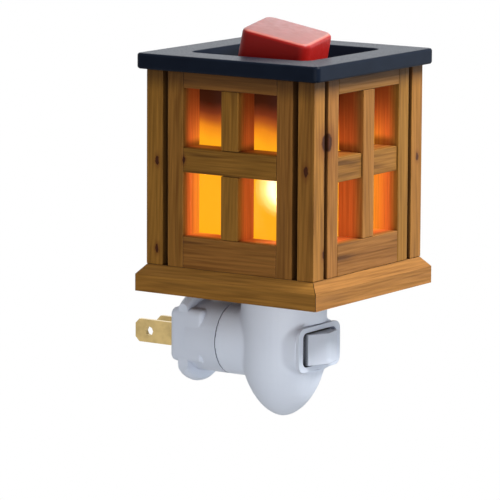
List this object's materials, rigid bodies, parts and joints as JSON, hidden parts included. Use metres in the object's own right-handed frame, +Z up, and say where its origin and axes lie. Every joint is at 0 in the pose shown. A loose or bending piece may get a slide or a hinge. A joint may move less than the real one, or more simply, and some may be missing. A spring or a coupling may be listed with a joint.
{
  "type": "plug-in lantern fragrance warmer",
  "caption": "Small wooden lantern with windowed sides and a square wax dish on top, on a swivelling wall plug base with a rocker switch.",
  "frame": {"origin": "centre of the plug's back face, between the blades, where it meets the wall outlet", "axes": "+Y into the wall along the blades, +Z up, front of the lantern towards -Y"},
  "size_m": [0.0724, 0.0929, 0.1344],
  "materials": {
    "lantern_wood": "satin stained",
    "plinth_wood": "satin stained",
    "amber_pane": "frosted amber, lit",
    "dish_glaze": "black satin glaze",
    "wax": "scented wax",
    "white_plastic": "moulded, semi-gloss",
    "steel": "plated",
    "brass": "plated",
    "socket_black": "moulded",
    "bulb_glass": "clear, lit"
  },
  "bodies": {
    "plug": {"plug_body": "white_plastic", "plug_faceplate": "white_plastic", "swivel_clip": "steel", "neutral_blade": "brass", "live_blade": "brass"},
    "lamp": {"front_left_post": "lantern_wood", "front_right_post": "lantern_wood", "back_right_post": "lantern_wood", "back_left_post": "lantern_wood", "front_left_stile": "lantern_wood", "front_right_stile": "lantern_wood", "front_bottom_rail": "lantern_wood", "front_top_rail": "lantern_wood", "front_mid_rail": "lantern_wood", "front_muntin": "lantern_wood", "right_left_stile": "lantern_wood", "right_right_stile": "lantern_wood", "right_bottom_rail": "lantern_wood", "right_top_rail": "lantern_wood", "right_mid_rail": "lantern_wood", "right_muntin": "lantern_wood", "back_left_stile": "lantern_wood", "back_right_stile": "lantern_wood", "back_bottom_rail": "lantern_wood", "back_top_rail": "lantern_wood", "back_mid_rail": "lantern_wood", "back_muntin": "lantern_wood", "left_left_stile": "lantern_wood", "left_right_stile": "lantern_wood", "left_bottom_rail": "lantern_wood", "left_top_rail": "lantern_wood", "left_mid_rail": "lantern_wood", "left_muntin": "lantern_wood", "front_pane": "amber_pane", "right_pane": "amber_pane", "back_pane": "amber_pane", "left_pane": "amber_pane", "front_plinth_strip": "plinth_wood", "right_plinth_strip": "plinth_wood", "back_plinth_strip": "plinth_wood", "left_plinth_strip": "plinth_wood", "base_board": "plinth_wood", "lamp_housing": "white_plastic", "left_housing_screw": "steel", "right_housing_screw": "steel", "lamp_socket": "socket_black", "socket_shell": "brass", "socket_contact": "brass", "switch_case": "white_plastic", "rocker_pin": "steel", "live_terminal": "brass", "load_terminal": "brass"},
    "rocker": {"switch_rocker": "white_plastic"},
    "bulb": {"bulb_base": "brass", "bulb_glass": "bulb_glass"},
    "dish": {"melt_dish": "dish_glaze"},
    "wax": {"wax_melt": "wax"}
  },
  "joints": [
    {"name": "plug_swivel", "type": "hinge", "parent": "plug", "child": "lamp", "pos_m": [0, -0.0191, 0], "axis": [0, 1, 0], "range_deg": [-90, 90]},
    {"name": "switch_rock", "type": "hinge", "parent": "lamp", "child": "rocker", "pos_m": [0, -0.0492, 0.0005], "axis": [0, 0, 1], "range_deg": [0, 16]},
    {"name": "bulb_thread", "type": "hinge", "parent": "lamp", "child": "bulb", "pos_m": [0, -0.0392, 0.03], "axis": [0, 0, 1], "range_deg": [0, 1080]},
    {"name": "dish_lift", "type": "slide", "parent": "lamp", "child": "dish", "axis": [0, 0, 1], "range_m": [0, 0.08]},
    {"name": "wax_lift", "type": "slide", "parent": "dish", "child": "wax", "axis": [0, 0, 1], "range_m": [0, 0.05]}
  ]
}
